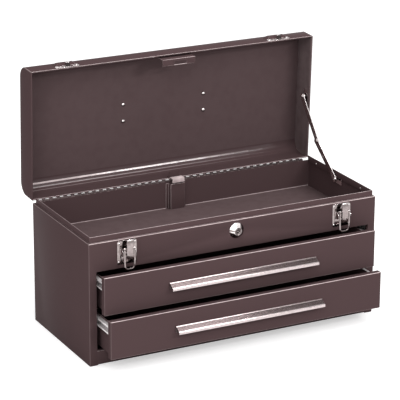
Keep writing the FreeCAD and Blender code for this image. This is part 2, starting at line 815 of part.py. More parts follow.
def handle_strap():
    """Riveted strap on the lid's top with a hump round the handle's pivot, drawn closed."""
    x0 = handle_strap_offset - handle_strap_width / 2
    x1 = handle_strap_offset + handle_strap_width / 2
    inner = handle_wire_radius + handle_fit
    outer = inner + handle_strap_thickness
    top = closed_height
    flat = box(x0, x1, handle_y - handle_strap_length / 2, handle_y + handle_strap_length / 2,
               top, top + handle_strap_thickness)
    hump = join(box(x0, x1, handle_y - outer, handle_y + outer, top, handle_axis_z),
                prism("x", outer, x0, x1, handle_y, handle_axis_z, "link"))
    hollow = join(box(x0, x1, handle_y - inner, handle_y + inner, top, handle_axis_z),
                  prism("x", inner, x0, x1, handle_y, handle_axis_z, "link"))
    below = box(x0, x1, handle_y - outer, handle_y + outer, top - outer, top)
    return join(flat, hump.cut(below)).cut(hollow)


def handle_rivets():
    """Four rivets through the straps and the lid's top."""
    rivets = []
    for s in (-1, 1):
        for t in (-1, 1):
            x = s * handle_strap_offset
            y = handle_y + t * handle_rivet_spacing / 2
            above = closed_height + handle_strap_thickness
            outside = prism("z", handle_rivet_radius, above, above + handle_rivet_head, x, y, "rivet")
            inside = prism("z", handle_rivet_radius, closed_height - sheet - handle_rivet_head,
                           closed_height - sheet, x, y, "rivet")
            rivets += [outside, inside]
    return Part.makeCompound(rivets)


def handle_path():
    """Centre line of the handle, drawn lying flat towards the hinge: pivots, arms and grip line."""
    z = handle_axis_z
    far = handle_y + handle_arm_reach
    arm = handle_strap_offset - handle_strap_width / 2 - handle_arm_gap - handle_bend_radius
    end = handle_strap_offset + handle_strap_width / 2 + handle_end_overhang
    r = handle_bend_radius
    k = r * (1 - math.sqrt(0.5))
    return [
        Part.LineSegment(V(-end, handle_y, z), V(-arm - r, handle_y, z)),
        Part.Arc(V(-arm - r, handle_y, z), V(-arm - k, handle_y + k, z), V(-arm, handle_y + r, z)),
        Part.LineSegment(V(-arm, handle_y + r, z), V(-arm, far - r, z)),
        Part.Arc(V(-arm, far - r, z), V(-arm + k, far - k, z), V(-arm + r, far, z)),
        Part.LineSegment(V(-arm + r, far, z), V(arm - r, far, z)),
        Part.Arc(V(arm - r, far, z), V(arm - k, far - k, z), V(arm, far - r, z)),
        Part.LineSegment(V(arm, far - r, z), V(arm, handle_y + r, z)),
        Part.Arc(V(arm, handle_y + r, z), V(arm + k, handle_y + k, z), V(arm + r, handle_y, z)),
        Part.LineSegment(V(arm + r, handle_y, z), V(end, handle_y, z)),
    ]


def handle_bail():
    """Wire bent along the handle's path: many-sided rings joined by flats, several rings round each bend."""
    rings = []
    for curve in handle_path():
        edge = curve.toShape()
        steps = flats_on["bend"] if isinstance(edge.Curve, Part.Circle) else 1
        length = edge.LastParameter - edge.FirstParameter
        for n in range(1 if rings else 0, steps + 1):
            at = edge.FirstParameter + length * n / steps
            across = edge.tangentAt(at).cross(Z_AXIS)
            rim = []
            for m in range(flats_on["wire"]):
                turn = 2 * math.pi * m / flats_on["wire"]
                outward = across * math.cos(turn) + Z_AXIS * math.sin(turn)
                rim.append(edge.valueAt(at) + outward * handle_wire_radius)
            rings.append(rim)
    return skin(rings)


def handle_grip(bail):
    """Moulded grip round the bail's long side, with its long edges rounded over."""
    far = handle_y + handle_arm_reach
    y = grip_width / 2 - grip_edge_radius
    z = grip_thickness / 2 - grip_edge_radius
    outline = []
    for n, (cy, cz) in enumerate(((y, z), (-y, z), (-y, -z), (y, -z))):
        for m in range(flats_on["bend"] + 1):
            turn = math.pi / 2 * (n + m / flats_on["bend"])
            outline.append((far + cy + grip_edge_radius * math.cos(turn),
                            handle_axis_z + cz + grip_edge_radius * math.sin(turn)))
    return extrude_yz(outline, -grip_length / 2, grip_length / 2).cut(bail)


# ---- drawers ------------------------------------------------------------------------------------------

def drawer_front(z0):
    """Drawer front: a shallow pan with its edges turned back."""
    z1 = z0 + front_height
    block = box(-front_half, front_half, -half_depth, -half_depth + front_return, z0, z1)
    outer = lambda p: near(p.y, -half_depth)
    block = soften(block, edge_softening, outer)
    return block.cut(box(-front_half + sheet, front_half - sheet, -inner_y, -half_depth + front_return,
                         z0 + sheet, z1 - sheet))


def drawer_tray(z0):
    """Folded tray behind the front. Its plain back wall is what the locking bar's finger catches."""
    low = z0 + sheet
    high = low + tray_wall_height
    block = box(-tray_half, tray_half, -inner_y, drawer_back_y, low, high)
    x = tray_half - sheet
    return block.cut(box(-x, x, -inner_y, drawer_back_y - sheet, low + sheet, high))


def drawer_rail(z0):
    """Channel on the tray's right side that runs over the case's runner."""
    zc = z0 + front_height - rail_below_front_top
    r = rail_height / 2
    x0 = tray_half
    x1 = tray_half + rail_width
    y0 = -half_depth + front_return
    outer = box(x0, x1, y0, drawer_back_y, zc - r, zc + r)
    inner = box(x0 + sheet, x1 - sheet, y0, drawer_back_y, zc - r + sheet, zc + r - sheet)
    mouth = box(x1 - sheet, x1, y0, drawer_back_y, zc - r + rail_lip, zc + r - rail_lip)
    return outer.cut(inner).cut(mouth)


def case_rail(z0):
    """T-shaped runner on the case's right wall: its head fills the drawer's channel."""
    zc = z0 + front_height - rail_below_front_top
    y0 = -half_depth + front_return + rail_front_setback
    y1 = inner_y - rail_rear_setback
    head_x0 = tray_half + sheet + rail_clearance
    head_half = rail_height / 2 - sheet - rail_clearance
    head = box(head_x0, head_x0 + runner_web, y0, y1, zc - head_half, zc + head_half)
    web = box(head_x0, inner_x - sheet, y0, y1, zc - runner_web / 2, zc + runner_web / 2)
    plate = box(inner_x - sheet, inner_x, y0, y1, zc - rail_plate_height / 2, zc + rail_plate_height / 2)
    return join(head, web, plate)


def drawer_pull(z0):
    """Extruded pull: a ribbed face that slopes out to a finger lip, on a flat base."""
    top = z0 + front_height / 2 + pull_height / 2
    slope_end = top - (pull_height - pull_lip_drop)
    w = pull_wall

    def on_face(t, lift):
        """A point along the sloping face, lift millimetres below its surface."""
        out = w + t * (pull_reach - w)
        z = top + t * (slope_end - top)
        run = math.hypot(pull_reach - w, slope_end - top)
        return out - lift * (top - slope_end) / run, z - lift * (pull_reach - w) / run

    points = [(0, top), (w, top)]
    for n in range(pull_grooves):
        t = (n + 1) / (pull_grooves + 1)
        half = pull_groove_share / (pull_grooves + 1)
        points += [on_face(t - half, 0), on_face(t - half / 2, pull_groove_depth),
                   on_face(t + half / 2, pull_groove_depth), on_face(t + half, 0)]
    points += [(pull_reach, slope_end), (pull_reach, slope_end - pull_lip_drop),
               (pull_reach - w, slope_end - pull_lip_drop), (pull_reach - w, slope_end - w),
               (w, top - 2 * w), (w, top - pull_height), (0, top - pull_height)]
    return extrude_yz([(-half_depth - o, z) for o, z in points], -pull_length / 2, pull_length / 2)


# ---- places that several pieces share -----------------------------------------------------------------

lock_z = shoulder - lock_below_shoulder
lock_body_end = -half_depth + lock_body_depth
cam_middle_y = lock_body_end + cam_thickness / 2
latch_pivot_z = shoulder - latch_pivot_below_shoulder
ear_inner = lever_width / 2 + lever_side_clearance
ear_outer = ear_inner + latch_tab_thickness
loop_top_width = 2 * (ear_outer + latch_pin_stand + lever_side_clearance + loop_bar)
wing_inner = loop_top_width / 2 + latch_wing_gap
loop_rest_out = latch_pivot_reach + loop_pivot_setback
loop_rest_up = loop_pivot_drop
loop_latched_out = latch_pivot_reach - loop_pivot_setback
loop_seat_z = latch_pivot_z - loop_pivot_drop + loop_reach - loop_seat_clearance
bar_back_y = inner_y - bar_wall_gap
bar_front_y = bar_back_y - bar_thickness
finger_y = drawer_back_y - sheet - bar_finger_gap - bar_thickness
finger_z = {name: z0 + sheet + tray_wall_height + bar_arm_clearance + bar_travel
            for name, z0 in front_bottoms.items()}
stay_upper_x = inner_x - stay_wall_gap - stay_link_thickness
stay_lower_x = stay_upper_x - stay_link_gap - stay_link_thickness
stay_case_pin = (hinge_y - stay_case_from_hinge, shoulder - stay_case_below_shoulder)
stay_lid_pin_closed = (hinge_y - stay_lid_from_hinge, hinge_z + stay_lid_above_rim)
stay_lid_pin = opened_point(*stay_lid_pin_closed)
knee = stay_knee(stay_lid_pin, stay_case_pin)
knee_closed = stay_knee(stay_lid_pin_closed, stay_case_pin)
handle_axis_z = closed_height + handle_axis_lift
handle_axis = opened_point(handle_y, handle_axis_z)


def angle(a, b):
    return math.degrees(math.atan2(b[1] - a[1], b[0] - a[0]))


lower_link_turn = angle(stay_case_pin, knee_closed) - angle(stay_case_pin, knee)
upper_link_turn = angle(stay_lid_pin_closed, knee_closed) - angle(stay_lid_pin, knee) - lid_open_angle

# ---- case ---------------------------------------------------------------------------------------------

nodes["face_frame"] = face_frame()
nodes["right_side_panel"] = side_panel(nodes["face_frame"])
nodes["left_side_panel"] = mirrored(nodes["right_side_panel"])
nodes["back_panel"] = back_panel()
nodes["bottom_panel"] = bottom_panel()
nodes["till_floor"] = till_floor()
nodes["case_hinge_leaf"] = hinge_leaf(0, -1)
nodes["hinge_pin"] = hinge_pin()
nodes["lock_housing"] = lock_housing()
nodes["lock_nut"] = lock_nut()
nodes["locking_bar_channel"] = bar_channel()
nodes["locking_bar_guide"] = bar_guide()
nodes["stay_case_bracket"] = stay_case_bracket()

# ---- lid ----------------------------------------------------------------------------------------------

nodes["lid_skin"] = opened(lid_skin())
right_end = lid_end()
nodes["lid_right_end"] = opened(right_end)
nodes["lid_left_end"] = opened(mirrored(right_end))
nodes["lid_hinge_leaf"] = opened(hinge_leaf(1, 1))
nodes["lid_lock_strike"] = opened(lid_lock_strike())
nodes["locking_bar_pusher"] = opened(bar_pusher())
nodes["stay_lid_bracket"] = opened(stay_lid_bracket())
right_strap = handle_strap()
nodes["right_handle_strap"] = opened(right_strap)
nodes["left_handle_strap"] = opened(mirrored(right_strap))
nodes["handle_rivets"] = opened(handle_rivets())

# ---- handle, stay, lock and locking bar -----------------------------------------------------------------

bail = handle_bail()
nodes["handle_bail"] = opened(bail)
nodes["handle_grip"] = opened(handle_grip(bail))
nodes["stay_upper_link"] = link(stay_upper_x, stay_lid_pin, knee, (0,))
nodes["stay_lower_link"] = link(stay_lower_x, stay_case_pin, knee, (0,))
nodes["stay_knee_rivet"] = prism("x", stay_head_radius, stay_lower_x - stay_head_height, stay_lower_x, *knee,
                                 "rivet")
nodes["stay_knee_washer"] = prism("x", stay_head_radius, stay_upper_x + stay_link_thickness,
                                  stay_upper_x + stay_link_thickness + stay_head_height, *knee, "rivet")
nodes["lock_barrel"] = lock_barrel()
nodes["lock_cam"] = lock_cam()
nodes["lock_cam_screw"] = lock_cam_screw()
nodes["locking_bar"] = locking_bar()

# ---- latches --------------------------------------------------------------------------------------------

for side, sign in (("left", -1), ("right", 1)):
    place = V(sign * latch_offset, 0, 0)
    for piece, shape in (("base", latch_base()), ("pin", latch_pin()), ("lever", latch_lever()),
                         ("loop", latch_loop())):
        shape.translate(place)
        nodes[f"{side}_latch_{piece}"] = shape
    strike = latch_strike()
    strike.translate(place)
    nodes[f"{side}_latch_strike"] = opened(strike)

# ---- drawers and their runners --------------------------------------------------------------------------

for name, z0 in front_bottoms.items():
    runner = case_rail(z0)
    nodes[f"{name}_right_runner"] = runner
    nodes[f"{name}_left_runner"] = mirrored(runner)
    rail = drawer_rail(z0)
    moving = {
        f"{name}_drawer_front": drawer_front(z0),
        f"{name}_drawer_tray": drawer_tray(z0),
        f"{name}_drawer_pull": drawer_pull(z0),
        f"{name}_drawer_right_rail": rail,
        f"{name}_drawer_left_rail": mirrored(rail),
    }
    for key, shape in moving.items():
        shape.translate(V(0, -rest_extension[name], 0))
        nodes[key] = shape

for name, shape in nodes.items():
    if not shape.isValid():
        raise ValueError(name + " is not a valid shape")
    shape.exportStep("parts/" + name + ".step")

print(len(nodes), "nodes")
print("lid hinge", (hinge_y, hinge_z), "handle axis", handle_axis, "drawer travel", drawer_travel)
print("stay pins", stay_lid_pin, stay_case_pin, "knee open", knee, "shut", knee_closed)
print("stay link turns", upper_link_turn, lower_link_turn)
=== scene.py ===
# %% [markdown]
# # A machinist's tool chest
# This lesson dresses a folded-steel chest: brown baked enamel, ribbed aluminium pulls,
# nickel-plated draw latches and bright drawer runners. The construction is fixed before the
# lesson starts. It is loaded as a frame of named nodes, each on a body that can move, and the
# lesson gives every surface its real form and finish.

# %% Load the frame
import json
import math

import bmesh
import bpy
from mathutils import Matrix, Vector


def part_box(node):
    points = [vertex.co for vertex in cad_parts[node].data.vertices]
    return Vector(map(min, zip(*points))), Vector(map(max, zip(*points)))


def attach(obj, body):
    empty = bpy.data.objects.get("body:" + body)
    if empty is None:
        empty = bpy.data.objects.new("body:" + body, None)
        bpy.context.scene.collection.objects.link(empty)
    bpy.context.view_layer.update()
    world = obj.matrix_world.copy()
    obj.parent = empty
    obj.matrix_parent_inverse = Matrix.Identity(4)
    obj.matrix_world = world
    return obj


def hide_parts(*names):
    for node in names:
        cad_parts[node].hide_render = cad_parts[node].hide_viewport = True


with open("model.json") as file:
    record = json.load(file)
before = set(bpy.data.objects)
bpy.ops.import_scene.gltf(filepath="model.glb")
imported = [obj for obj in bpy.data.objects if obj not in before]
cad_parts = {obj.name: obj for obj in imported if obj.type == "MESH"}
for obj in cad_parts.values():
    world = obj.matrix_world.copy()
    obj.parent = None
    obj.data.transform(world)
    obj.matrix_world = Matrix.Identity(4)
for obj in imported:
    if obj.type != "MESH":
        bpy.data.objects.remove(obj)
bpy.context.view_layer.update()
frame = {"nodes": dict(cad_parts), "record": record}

# %% [markdown]
# Every length here is in metres. Small sizes read better in millimetres, so one constant turns
# them into metres. Two lookups come from the frame's record: the body that carries each node,
# and the finish that it was given.

# %% Units and lookups
MM = 0.001
bodies = frame["record"]["behaviour"]["bodies"]
body_of = {node: body for body, nodes in bodies.items() for node in nodes}
slot_of = {part["node"]: part["material_slot"] for part in frame["record"]["subparts"]}
print("finishes:", sorted(set(slot_of.values())))

# %% [markdown]
# ## The camera
# A product picture is taken from far off with a long lens, so that upright edges stay nearly
# parallel. The camera stands to the chest's left and looks down by nineteen degrees. Its three
# axes are built by hand, because a small roll is easier to add to axes than to a tracked
# rotation.

# %% Camera
camera_azimuth = math.radians(-27.40)
camera_elevation = math.radians(19.05)
camera_roll = math.radians(0.30)
camera_distance = 3.476
camera_lens = 192.87
look_at = Vector((0, 0, 0.150))
look_right, look_up = -0.0080, 0.0483


def camera_axes(azimuth, elevation, roll):
    """The camera's right, up and backward directions."""
    level = math.cos(elevation)
    back = Vector((math.sin(azimuth) * level, -math.cos(azimuth) * level, math.sin(elevation)))
    right = (-back).cross(Vector((0, 0, 1))).normalized()
    up = right.cross(-back)
    return (right * math.cos(roll) + up * math.sin(roll),
            up * math.cos(roll) - right * math.sin(roll), back)


right, up, back = camera_axes(camera_azimuth, camera_elevation, camera_roll)
camera = bpy.data.objects.new("camera", bpy.data.cameras.new("camera"))
camera.data.lens = camera_lens
camera.data.sensor_width = 36.0
camera.data.clip_end = 60.0
turn = Matrix((right, up, back)).transposed().to_4x4()
place = look_at + right * look_right + up * look_up + back * camera_distance
camera.matrix_world = Matrix.Translation(place) @ turn
bpy.context.scene.collection.objects.link(camera)
bpy.context.scene.camera = camera
print("camera at", [round(v, 3) for v in place])

# %% [markdown]
# ## Shader helpers
# A finish is a graph of nodes. A few short helpers keep the graphs readable. The first adds a
# node with its settings, and the second links sockets by name.

# %% Helpers: nodes and links


def add_node(tree, kind, **settings):
    """A new node of that kind.

    Settings are attributes, or input sockets by name with underscores for spaces.
    """
    node = tree.nodes.new(kind)
    for key, value in settings.items():
        if hasattr(node, key):
            setattr(node, key, value)
        else:
            node.inputs[key.replace("_", " ")].default_value = value
    return node


def wire(tree, *joins):
    """Links sockets. Each join is a node, its output, the next node and its input."""
    for source, output, target, entry in joins:
        tree.links.new(source.outputs[output], target.inputs[entry])


# %% [markdown]
# An effect that several finishes share is made once, as a group with named inputs, and each
# finish places a copy of it with its own values. Patterns are laid out in the object's own
# coordinates, which need no unwrapping and move with the piece.

# %% Helpers: shared groups


def start_group(name, inputs, outputs):
    """An empty shader group with float, vector or colour sockets, and its two end nodes."""
    tree = bpy.data.node_groups.new(name, "ShaderNodeTree")
    for label, kind, default in inputs:
        socket = tree.interface.new_socket(label, in_out="INPUT", socket_type=kind)
        socket.default_value = default
    for label, kind in outputs:
        tree.interface.new_socket(label, in_out="OUTPUT", socket_type=kind)
    return tree, tree.nodes.new("NodeGroupInput"), tree.nodes.new("NodeGroupOutput")


def add_noise(tree, start, scale, **settings):
    """Noise in the object's coordinates. Its scale is one of the group's inputs."""
    place = add_node(tree, "ShaderNodeTexCoord")
    noise = add_node(tree, "ShaderNodeTexNoise", **settings)
    wire(tree, (place, "Object", noise, "Vector"), (start, scale, noise, "Scale"))
    return noise


def place_group(tree, group, **values):
    """A copy of a shared group in a material, with its own values."""
    node = tree.nodes.new("ShaderNodeGroup")
    node.node_tree = group
    for key, value in values.items():
        node.inputs[key.replace("_", " ")].default_value = value
    return node


# %% [markdown]
# Every finish ends alike: a colour, a roughness and a fine relief go into one Principled
# shader. The relief is about a tenth of a millimetre deep at most, so a bump is enough for it.
# Anything coarser on this chest is modelled.

# %% Helpers: materials


def start_material(name, **principled):
    """A material with one Principled shader, whose constant sockets are set by name."""
    material = bpy.data.materials.new(name)
    material.use_nodes = True
    shader = material.node_tree.nodes["Principled BSDF"]
    for key, value in principled.items():
        shader.inputs[key.replace("_", " ")].default_value = value
    return material, material.node_tree, shader


def add_surface(tree, shader, colour, roughness, height, strength, distance):
    """Joins a colour, a roughness and a bump's height, each an output socket, to the shader."""
    bump = add_node(tree, "ShaderNodeBump", Strength=strength, Distance=distance)
    tree.links.new(colour, shader.inputs["Base Color"])
    tree.links.new(roughness, shader.inputs["Roughness"])
    tree.links.new(height, bump.inputs["Height"])
    tree.links.new(bump.outputs["Normal"], shader.inputs["Normal"])


# %% [markdown]
# ## Effects that several finishes share
# Sprayed and baked enamel is never quite flat: it dries with a fine orange peel. Moulded
# plastic has a coarser grain of the same kind, so one group of soft noise serves both.

# %% Group: orange peel
peel, peel_in, peel_out = start_group(
    "Orange Peel",
    [("Grain", "NodeSocketFloat", 400.0), ("Depth", "NodeSocketFloat", 0.5)],
    [("Height", "NodeSocketFloat")])
peel_noise = add_noise(peel, peel_in, "Grain", Detail=2.0, Roughness=0.45)
peel_depth = add_node(peel, "ShaderNodeMath", operation="MULTIPLY")
wire(peel,
     (peel_noise, "Fac", peel_depth, 0),
     (peel_in, "Depth", peel_depth, 1),
     (peel_depth, "Value", peel_out, "Height"))
print("group", peel.name)

# %% [markdown]
# Handling leaves a faint haze that changes the gloss from place to place. Noise with much
# detail, spread between a glossy and a dull roughness, gives patches without clear borders.

# %% Group: handling haze
haze, haze_in, haze_out = start_group(
    "Handling Haze",
    [("Patch Size", "NodeSocketFloat", 9.0), ("Gloss", "NodeSocketFloat", 0.25),
     ("Dull", "NodeSocketFloat", 0.4)],
    [("Roughness", "NodeSocketFloat")])
haze_noise = add_noise(haze, haze_in, "Patch Size", Detail=5.0, Roughness=0.6)
haze_range = add_node(haze, "ShaderNodeMapRange", From_Min=0.35, From_Max=0.68)
wire(haze,
     (haze_noise, "Fac", haze_range, "Value"),
     (haze_in, "Gloss", haze_range, "To Min"),
     (haze_in, "Dull", haze_range, "To Max"),
     (haze_range, "Result", haze_out, "Roughness"))
print("group", haze.name)

# %% [markdown]
# Rolled and drawn metal carries streaks along the way it was pulled. They are noise whose
# coordinates are stretched: a large factor packs the pattern tightly across the streaks, and a
# small one lets it run on along them. The group gives a roughness and a height.

# %% Group: drawn streaks
streaks, streaks_in, streaks_out = start_group(
    "Drawn Streaks",
    [("Stretch", "NodeSocketVector", (20.0, 900.0, 900.0)), ("Low", "NodeSocketFloat", 0.2),
     ("High", "NodeSocketFloat", 0.4)],
    [("Value", "NodeSocketFloat"), ("Height", "NodeSocketFloat")])
streaks_place = add_node(streaks, "ShaderNodeTexCoord")
streaks_stretch = add_node(streaks, "ShaderNodeVectorMath", operation="MULTIPLY")
streaks_noise = add_node(streaks, "ShaderNodeTexNoise", Scale=1.0, Detail=3.0)
streaks_range = add_node(streaks, "ShaderNodeMapRange", From_Min=0.3, From_Max=0.7)
wire(streaks,
     (streaks_place, "Object", streaks_stretch, 0),
     (streaks_in, "Stretch", streaks_stretch, 1),
     (streaks_stretch, "Vector", streaks_noise, "Vector"),
     (streaks_noise, "Fac", streaks_range, "Value"),
     (streaks_in, "Low", streaks_range, "To Min"),
     (streaks_in, "High", streaks_range, "To Max"),
     (streaks_range, "Result", streaks_out, "Value"),
     (streaks_noise, "Fac", streaks_out, "Height"))
print("group", streaks.name)

# %% [markdown]
# No real surface is one flat colour. This group lets two close tints drift into each other in
# wide, soft patches.

# %% Group: tone drift
drift, drift_in, drift_out = start_group(
    "Tone Drift",
    [("Main", "NodeSocketColor", (0.1, 0.06, 0.06, 1)),
     ("Second", "NodeSocketColor", (0.08, 0.05, 0.05, 1)),
     ("Patch Size", "NodeSocketFloat", 6.0)],
    [("Color", "NodeSocketColor")])
drift_noise = add_noise(drift, drift_in, "Patch Size", Detail=3.0)
drift_mix = add_node(drift, "ShaderNodeMix", data_type="RGBA")
wire(drift,
     (drift_noise, "Fac", drift_mix, "Factor"),
     (drift_in, "Main", drift_mix, "A"),
     (drift_in, "Second", drift_mix, "B"),
     (drift_mix, "Result", drift_out, "Color"))
print("group", drift.name)

# %% [markdown]
# Light on the chest is partly painted into its colour: a highlight where a rounded edge would
# catch the lamps, and shade where a face is turned from them. The mesh says where: an attribute
# of its faces, named edge, holds a tone from -1, painted shade, through 0, plain, to 1, painted
# highlight. The group mixes the plain colour towards a bright or a dark one by that tone. The
# attribute is part of the piece, so it stays in place when the camera moves. Fine noise breaks
# up the painted bright lines a little.

# %% Group: painted edge light
painted_edge_light, brights_in, brights_out = start_group(
    "Painted Edge Light",
    [("Plain", "NodeSocketColor", (0.1, 0.06, 0.06, 1)),
     ("Bright", "NodeSocketColor", (0.6, 0.5, 0.5, 1)),
     ("Dark", "NodeSocketColor", (0.03, 0.02, 0.02, 1)),
     ("Break Up", "NodeSocketFloat", 60.0)],
    [("Color", "NodeSocketColor")])
brights_mark = add_node(painted_edge_light, "ShaderNodeAttribute", attribute_name="edge")
brights_noise = add_noise(painted_edge_light, brights_in, "Break Up", Detail=2.0)
brights_uneven = add_node(painted_edge_light, "ShaderNodeMapRange",
                          From_Min=0.3, From_Max=0.6, To_Min=0.72, To_Max=1.0)
brights_up = add_node(painted_edge_light, "ShaderNodeMath", operation="MULTIPLY", use_clamp=True)
brights_down = add_node(painted_edge_light, "ShaderNodeMath", operation="MULTIPLY", use_clamp=True)
brights_down.inputs[1].default_value = -1.0
brights_mix = add_node(painted_edge_light, "ShaderNodeMix", data_type="RGBA")
brights_sink = add_node(painted_edge_light, "ShaderNodeMix", data_type="RGBA")
wire(painted_edge_light,
     (brights_noise, "Fac", brights_uneven, "Value"),
     (brights_mark, "Fac", brights_up, 0),
     (brights_uneven, "Result", brights_up, 1),
     (brights_mark, "Fac", brights_down, 0),
     (brights_up, "Value", brights_mix, "Factor"),
     (brights_in, "Plain", brights_mix, "A"),
     (brights_in, "Bright", brights_mix, "B"),
     (brights_down, "Value", brights_sink, "Factor"),
     (brights_mix, "Result", brights_sink, "A"),
     (brights_in, "Dark", brights_sink, "B"),
     (brights_sink, "Result", brights_out, "Color"))
print("group", painted_edge_light.name)

# %% [markdown]
# ## The enamel
# The chest is sprayed inside and out with brown enamel and baked. Two browns drift into each
# other by a few percent, and the peel gives the surface a fine relief. Flat faces hardly mirror
# at all, because a pale floor seen in them at a low angle would turn the brown grey. Enamel
# runs thicker and glossier on a bend than on a flat, so a bend can carry a glossy coat. Its
# weight is an attribute of the faces, named coat.

# %% Material: brown enamel


def make_enamel():
    material, tree, shader = start_material(
        "brown_enamel", IOR=1.5, Specular_IOR_Level=0.002, Coat_Roughness=0.17)
    tone = place_group(tree, drift, Main=(0.088, 0.055, 0.057, 1),
                       Second=(0.080, 0.051, 0.053, 1), Patch_Size=5.0)
    # The bright colour is the painted highlight on the enamel's edges.
    edges = place_group(tree, painted_edge_light, Bright=(0.76, 0.63, 0.63, 1), Break_Up=70.0)
    gloss = place_group(tree, haze, Patch_Size=7.0, Gloss=0.13, Dull=0.17)
    skin = place_group(tree, peel, Grain=650.0, Depth=0.5)
    thick = add_node(tree, "ShaderNodeAttribute", attribute_name="coat")
    wire(tree, (tone, "Color", edges, "Plain"), (thick, "Fac", shader, "Coat Weight"))
    add_surface(tree, shader, edges.outputs["Color"], gloss.outputs["Roughness"],
                skin.outputs["Height"], strength=0.06, distance=0.0004)
    return material


finish_of = {"brown_enamel": make_enamel()}
print("finishes:", list(finish_of))

# %% [markdown]
# ## The bare metals
# The pulls are extruded aluminium with a satin skin and streaks along their length. The runners
# and channels are zinc-plated steel, and the hinge is a duller plate. The latches, the lock and
# the small fittings are nickel plated, which is brighter and a little warm. A full metal's
# colour is its tint. Only the zinc is part chalk, because it dulls as it weathers.

# %% Materials: metals
# The dark colour is painted shade, and each metal's bright colour is its painted highlight.
metal_painted_shade = (0.025, 0.018, 0.018, 1)
metal_break_up = 220.0
along_x = (14.0, 1400.0, 1400.0)
along_y = (1400.0, 14.0, 1400.0)
every_way = (500.0, 500.0, 500.0)
metals = {
    "pull_aluminium": dict(main=(0.24, 0.19, 0.19, 1), second=(0.18, 0.14, 0.14, 1),
                           bright=(0.80, 0.70, 0.70, 1), patch=30.0,
                           stretch=along_x, gloss=0.22, dull=0.40, depth=0.10),
    "rail_steel": dict(main=(0.60, 0.55, 0.55, 1), second=(0.42, 0.38, 0.38, 1),
                       bright=(0.95, 0.90, 0.90, 1), patch=25.0, metallic=0.45,
                       stretch=along_y, gloss=0.20, dull=0.42, depth=0.10),
    "hinge_steel": dict(main=(0.17, 0.13, 0.13, 1), second=(0.10, 0.08, 0.08, 1),
                        bright=(0.90, 0.83, 0.83, 1), patch=60.0,
                        stretch=along_x, gloss=0.25, dull=0.45, depth=0.08),
    "nickel_plate": dict(main=(0.16, 0.12, 0.12, 1), second=(0.50, 0.44, 0.43, 1),
                         bright=(0.97, 0.90, 0.89, 1), patch=230.0,
                         stretch=every_way, gloss=0.10, dull=0.24, depth=0.06),
}


def make_metal(name, main, second, bright, patch, stretch, gloss, dull, depth, metallic=1.0):
    """A metal with two close tints, painted highlight and shade by its marked tones, and a
    roughness streaked as it was drawn.
    """
    material, tree, shader = start_material(name, Metallic=metallic)
    tone = place_group(tree, drift, Main=main, Second=second, Patch_Size=patch)
    edges = place_group(tree, painted_edge_light, Bright=bright, Dark=metal_painted_shade, Break_Up=metal_break_up)
    lines = place_group(tree, streaks, Stretch=stretch, Low=gloss, High=dull)
    wire(tree, (tone, "Color", edges, "Plain"))
    add_surface(tree, shader, edges.outputs["Color"], lines.outputs["Value"],
                lines.outputs["Height"], strength=depth, distance=0.0002)
    return material


for name, look in metals.items():
    finish_of[name] = make_metal(name, **look)
print("finishes:", list(finish_of))

# %% [markdown]
# ## The grip
# The handle's grip is moulded in a dark brown plastic with a fine leather-like grain, which is
# a finer and deeper peel than the enamel's.

# %% Material: moulded grip


def make_grip():
    material, tree, shader = start_material("grip_plastic", IOR=1.46)
    tone = place_group(tree, drift, Main=(0.040, 0.025, 0.024, 1),
                       Second=(0.030, 0.020, 0.019, 1), Patch_Size=20.0)
    gloss = place_group(tree, haze, Patch_Size=25.0, Gloss=0.42, Dull=0.60)
    skin = place_group(tree, peel, Grain=1500.0, Depth=1.0)
    add_surface(tree, shader, tone.outputs["Color"], gloss.outputs["Roughness"],
                skin.outputs["Height"], strength=0.45, distance=0.0003)
    return material


finish_of["grip_plastic"] = make_grip()
for node, piece in frame["nodes"].items():
    piece.data.materials.clear()
    piece.data.materials.append(finish_of[slot_of[node]])
print("finishes:", list(finish_of))

# %% [markdown]
# ## Rounded edges
# No folded or stamped edge is truly sharp, and the thin bright lines that draw a steel box in a
# picture are lamps caught in its rounded edges. Here those lines are painted highlights on the
# rounded faces. The frame's nodes are plain solids, so each one that shows gets a formed copy.
# First come two helpers that any new piece needs.

# %% Helpers: finished pieces
crease = math.radians(35.0)


def put_piece(name, mesh, body, slot):
    """Makes a mesh a piece of the chest: it rides on a body and wears a finish."""
    piece = bpy.data.objects.new(name, mesh)
    bpy.context.scene.collection.objects.link(piece)
    mesh.materials.clear()
    mesh.materials.append(finish_of[slot])
    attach(piece, body)
    return piece


def smooth_mesh(bm, name):
    """Writes a bmesh to a new mesh, shaded smooth except across real corners."""
    mesh = bpy.data.meshes.new(name)
    bm.to_mesh(mesh)
    bm.free()
    mesh.polygons.foreach_set("use_smooth", [True] * len(mesh.polygons))
    mesh.set_sharp_from_angle(angle=crease)
    mesh.update()
    return mesh


# %% [markdown]
# Next come the rules for the painted light. A sheet's edge gets a painted highlight, brightest
# where it faces up and forward and runs across the chest. Plating gets a painted reflection,
# bright to the upper left and dark to the lower right. Both follow from the way that a face
# looks while the chest stands open, and they stay on the piece when it moves.

# %% Helpers: painted light tones
sheet_light = Vector((0.0, -0.45, 0.89))
sheet_least = 0.06
sheet_across, sheet_upright, sheet_deep = 0.94, 0.10, 0.26
along_axis = 0.8
plated_light = Vector((-0.55, -0.35, 0.76))
plated_contrast, plated_level = 2.0, -0.68


def clamp(value, low, high):
    return max(low, min(high, value))


def sheet_painted_highlight(face):
    """The painted highlight on a sheet's edge, by its facing and by the way that it runs."""
    longest = max(face.edges, key=lambda e: e.calc_length())
    run = (longest.verts[1].co - longest.verts[0].co).normalized()
    facing = max(0.0, face.normal.dot(sheet_light))
    if abs(run.x) > along_axis:
        return sheet_least + facing * sheet_across
    return sheet_least + facing * (sheet_upright if abs(run.z) > along_axis else sheet_deep)


